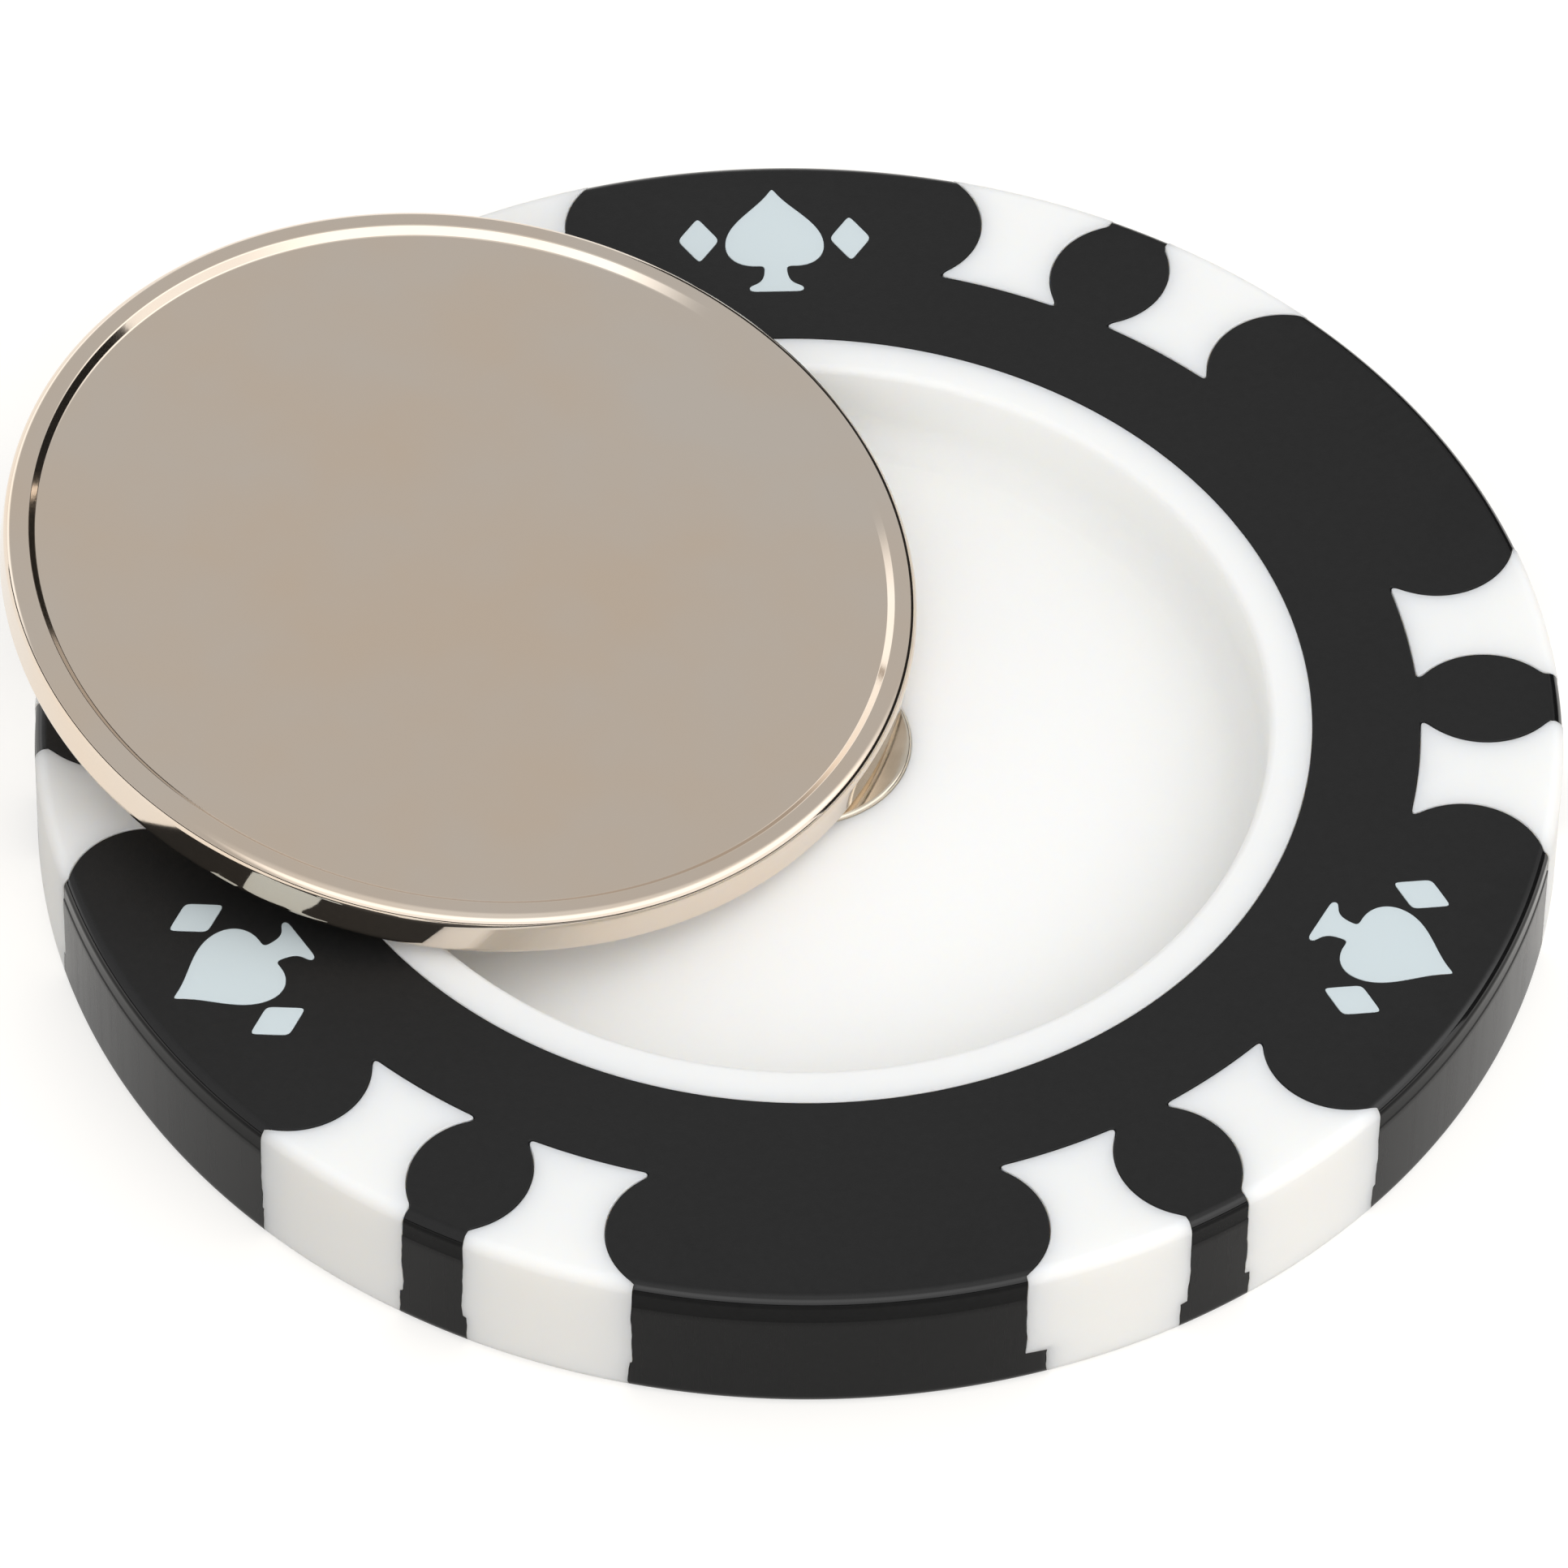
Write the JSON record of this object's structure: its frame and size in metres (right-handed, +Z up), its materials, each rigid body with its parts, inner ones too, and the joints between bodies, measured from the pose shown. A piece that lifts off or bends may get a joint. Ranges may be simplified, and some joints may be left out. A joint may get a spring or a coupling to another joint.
{
  "type": "poker chip ball marker",
  "caption": "Golf ball marker: a black and white moulded poker chip with a magnet in its domed recess, and a polished steel marker disc that leans on the recess lip",
  "frame": {"origin": "centre of the chip's flat underside", "axes": "+Z up out of the chip's face with the recess; +Y through the middle of one sector with suit pips, away from the camera of the picture"},
  "size_m": [0.0408, 0.04, 0.008],
  "materials": {
    "white_plastic": "smooth white ABS with a soft sheen",
    "black_plastic": "black ABS with a fine matte grain",
    "magnet_plating": "nickel plating on a sintered magnet",
    "marker_plating": "polished warm nickel plating, slightly hazy on the face"
  },
  "bodies": {
    "chip": {"white_core": "white_plastic", "black_overmould": "black_plastic", "disc_magnet": "magnet_plating"},
    "marker": {"steel_marker": "marker_plating"}
  },
  "joints": [
    {"name": "marker_lift", "type": "slide", "parent": "chip", "child": "marker", "axis": [0, 0, 1], "range_m": [0, 0.025]}
  ]
}
